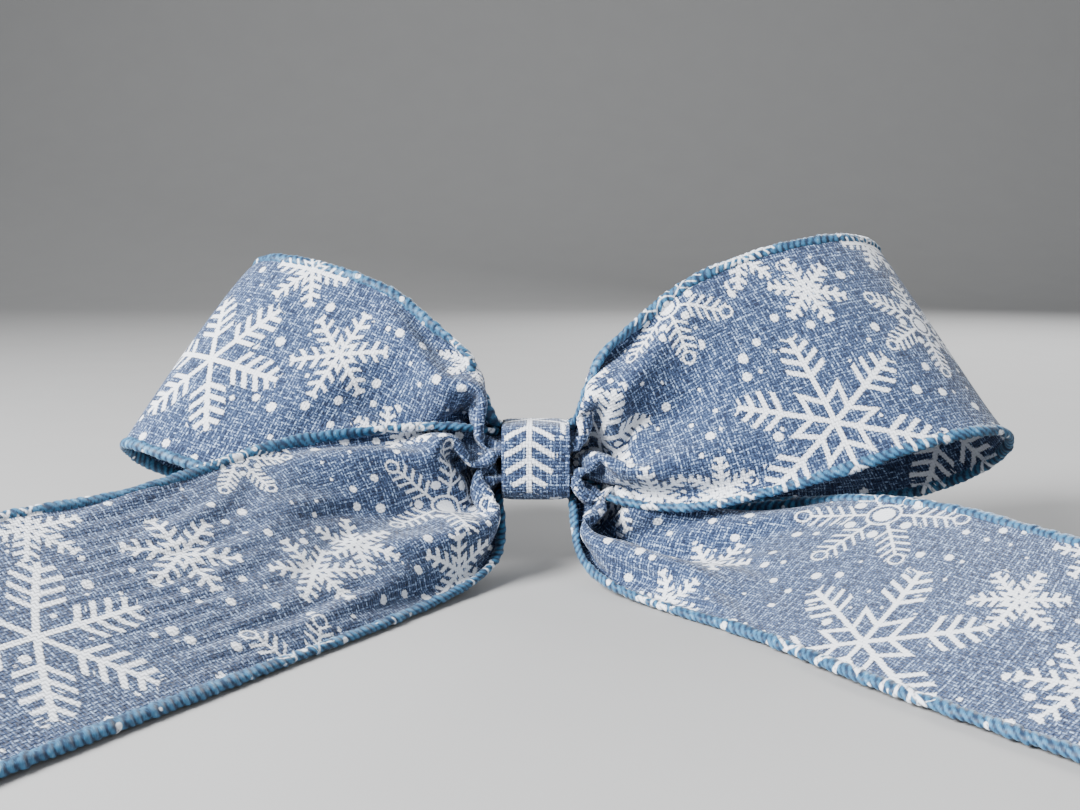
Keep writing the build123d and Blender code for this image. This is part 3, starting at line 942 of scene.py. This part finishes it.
def thread_material(name):
    """Overlocked edge: blue thread, with the print where it ran over the edge."""
    hues = bpy.context.scene.gift_bow_colours
    mat, n, shader = new_material("edge_thread_" + name)
    uv = n.node("ShaderNodeUVMap", uv_map="flat").outputs[0]
    fibre = n.noise(n.scaled(uv, 9000.0, 1600.0), 1.0, 2.0, 0.6)
    patch = n.noise(uv, 620.0, 3.0, 0.6)
    tone = n.plus(n.times(fibre, 0.7), n.minus(n.times(patch, 1.5), 0.45))
    # painted shade: the tone is pulled down where the ridge attribute is low, so the thread is painted darker
    # in the grooves between the wraps
    ridge = n.node("ShaderNodeAttribute", attribute_name="ridge").outputs["Fac"]
    tone = n.minus(tone, n.times(n.minus(1.0, ridge), 0.75))
    base = n.mix(n.spread(tone, 0.2, 0.75), colour(hues.thread_dark_and_groove_shade), colour(hues.thread_light))
    # painted highlight: the pale colour comes only near the crests of the wraps, where the tone is high,
    # together with pale patches from the noise
    base = n.mix(n.times(n.spread(tone, 0.72, 1.0), 0.75), base, colour(hues.thread_pale_and_highlight))
    white = n.times(print_of(n, name, uv, fibre), n.spread(ridge, 0.25, 0.7, 0.2, 0.85))
    n.feed(shader, Base_Color=n.mix(white, base, colour(hues.print_white)),
           Roughness=n.spread(fibre, 0.2, 0.8, 0.62, 0.48),
           Sheen_Weight=0.12, Specular_IOR_Level=0.4, Normal=n.bump(fibre, 0.35, 0.0001))
    return mat


def plain_material(name, base, dark, rough, metal=0.0):
    """A hard finish with a little mottling: steel, plastic or glue."""
    mat = bpy.data.materials.get(name)
    if mat:
        return mat
    mat, n, shader = new_material(name)
    at = n.node("ShaderNodeTexCoord").outputs["Object"]
    spots = n.noise(at, 900.0, 3.0, 0.6)
    n.feed(shader, Base_Color=n.mix(n.spread(spots, 0.3, 0.7), colour(dark), colour(base)),
           Roughness=n.spread(spots, 0.2, 0.8, rough + 0.08, rough - 0.06),
           Metallic=metal, Normal=n.bump(spots, 0.15, 0.0001))
    return mat


def wire_material():
    """Bare steel, for the edges' and the tie's wires."""
    return plain_material("edge_wire_steel", (0.55, 0.56, 0.58), (0.4, 0.41, 0.43), 0.34, 1.0)


def finish_cad_nodes():
    """Better finishes for the CAD pieces that stay: the tie, its wires and the glue."""
    sleeve = plain_material("tie_sleeve", (0.80, 0.82, 0.85), (0.68, 0.70, 0.74), 0.42)
    glue = plain_material("hot_glue_cloudy", (0.82, 0.80, 0.72), (0.7, 0.68, 0.6), 0.35)
    for node, mat in (("tie_ring", sleeve), ("tie_stem", sleeve), ("tie_left_leg", sleeve),
                      ("tie_right_leg", sleeve), ("glue_dab", glue),
                      ("tie_left_wire", wire_material()), ("tie_right_wire", wire_material())):
        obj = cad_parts[node]
        for slot in obj.material_slots:
            slot.material = mat


# ---- stage -------------------------------------------------------------------------------
def make_stage():
    """Camera in front and a little above, a plain pale floor and soft studio light."""
    scene = bpy.context.scene
    cam_data = bpy.data.cameras.new("camera")
    cam_data.lens, cam_data.sensor_width = CAMERA_LENS, 36.0
    cam_data.clip_start = 0.01
    cam = bpy.data.objects.new("camera", cam_data)
    scene.collection.objects.link(cam)
    cam.location = ((KNOT[0] + 0.8) * MM, (KNOT[1] - CAMERA_AWAY) * MM, CAMERA_HEIGHT * MM)
    cam.rotation_euler = (math.radians(90 - CAMERA_TILT), 0, 0)
    scene.camera = cam
    # the paper runs back and curves up behind
    bend = [(PAPER_FLAT + PAPER_BEND * math.sin(a), PAPER_BEND - PAPER_BEND * math.cos(a))
            for a in np.linspace(0, math.pi / 2, 17)]
    side = np.array([(-PAPER_HALF, 0.0)] + bend + [(PAPER_FLAT + PAPER_BEND, PAPER_TOP)])
    sweep = np.array([[(x, y, z) for y, z in side] for x in (-PAPER_HALF, PAPER_HALF)])
    floor = grid_object("floor", sweep[::-1])
    mat, n, shader = new_material("floor_paper")
    at = n.node("ShaderNodeTexCoord").outputs["Object"]
    greys = [(grey, grey, grey, 1) for grey in (0.32, 0.34)]
    n.feed(shader, Base_Color=n.mix(n.noise(at, 40.0, 3.0), *greys), Roughness=0.8)
    floor.data.materials.append(mat)
    for name, place, aim, size, power in (
            ("key", (-0.45, -0.25, 0.37), (0, 0.03, 0.02), 0.28, 18.5),
            ("fill", (0.45, -0.35, 0.30), (0, 0.03, 0.02), 0.5, 1.1),
            ("back", (0.25, 0.55, 0.36), (0, 0.03, 0.03), 0.30, 4.4)):
        data = bpy.data.lights.new(name, "AREA")
        data.size, data.energy = size, power
        light = bpy.data.objects.new(name, data)
        scene.collection.objects.link(light)
        light.location = place
        light.rotation_euler = (Vector(aim) - Vector(place)).to_track_quat("-Z", "Y").to_euler()
    world = bpy.data.worlds.new("studio")
    scene.world = world
    world.use_nodes = True
    sky = world.node_tree.nodes["Background"].inputs
    sky["Color"].default_value = (0.75, 0.78, 0.82, 1)
    sky["Strength"].default_value = 0.34


# ---- operators and panel -----------------------------------------------------------------
class GIFTBOW_OT_ribbon(bpy.types.Operator):
    """Make one loop or tail with its edges and wires"""
    bl_idname = "giftbow.ribbon"
    bl_label = "Loop or tail"
    name: bpy.props.StringProperty(
        name="Ribbon", description="Which loop or tail to make", default="right_loop")

    def execute(self, context):
        make_ribbon(self.name)
        return {"FINISHED"}


class GIFTBOW_OT_knot(bpy.types.Operator):
    """Make the pleated pinch and the folded band, and finish the tie and the glue"""
    bl_idname = "giftbow.knot"
    bl_label = "Pinch, band and tie"

    def execute(self, context):
        make_pinch()
        make_band()
        finish_cad_nodes()
        return {"FINISHED"}


class GIFTBOW_OT_stage(bpy.types.Operator):
    """Make the camera, the paper floor and the studio lights"""
    bl_idname = "giftbow.stage"
    bl_label = "Camera, floor and light"

    def execute(self, context):
        make_stage()
        return {"FINISHED"}


class GIFTBOW_PT_panel(bpy.types.Panel):
    """Sizes, colours and pieces of the bow"""
    bl_label = "Gift Bow"
    bl_space_type = "VIEW_3D"
    bl_region_type = "UI"
    bl_category = "Gift Bow"

    def draw(self, context):
        for owner in (context.scene.gift_bow_sizes, context.scene.gift_bow_colours):
            for key in owner.__annotations__:
                self.layout.prop(owner, key)
        for name in RIBBONS:
            self.layout.operator("giftbow.ribbon", text=name.replace("_", " ")).name = name
        self.layout.operator("giftbow.knot")
        self.layout.operator("giftbow.stage")


CLASSES = (GiftBowSizes, GiftBowColours, GIFTBOW_OT_ribbon, GIFTBOW_OT_knot, GIFTBOW_OT_stage,
           GIFTBOW_PT_panel)


def register():
    for cls in CLASSES:
        bpy.utils.register_class(cls)
    bpy.types.Scene.gift_bow_sizes = bpy.props.PointerProperty(type=GiftBowSizes)
    bpy.types.Scene.gift_bow_colours = bpy.props.PointerProperty(type=GiftBowColours)


def unregister():
    del bpy.types.Scene.gift_bow_sizes
    del bpy.types.Scene.gift_bow_colours
    for cls in reversed(CLASSES):
        bpy.utils.unregister_class(cls)


def main():
    """Builds the stage, and the bow over the frame."""
    register()
    bpy.ops.giftbow.stage()
    for name in RIBBONS:
        bpy.ops.giftbow.ribbon(name=name)
    bpy.ops.giftbow.knot()


if __name__ == "__main__":
    main()
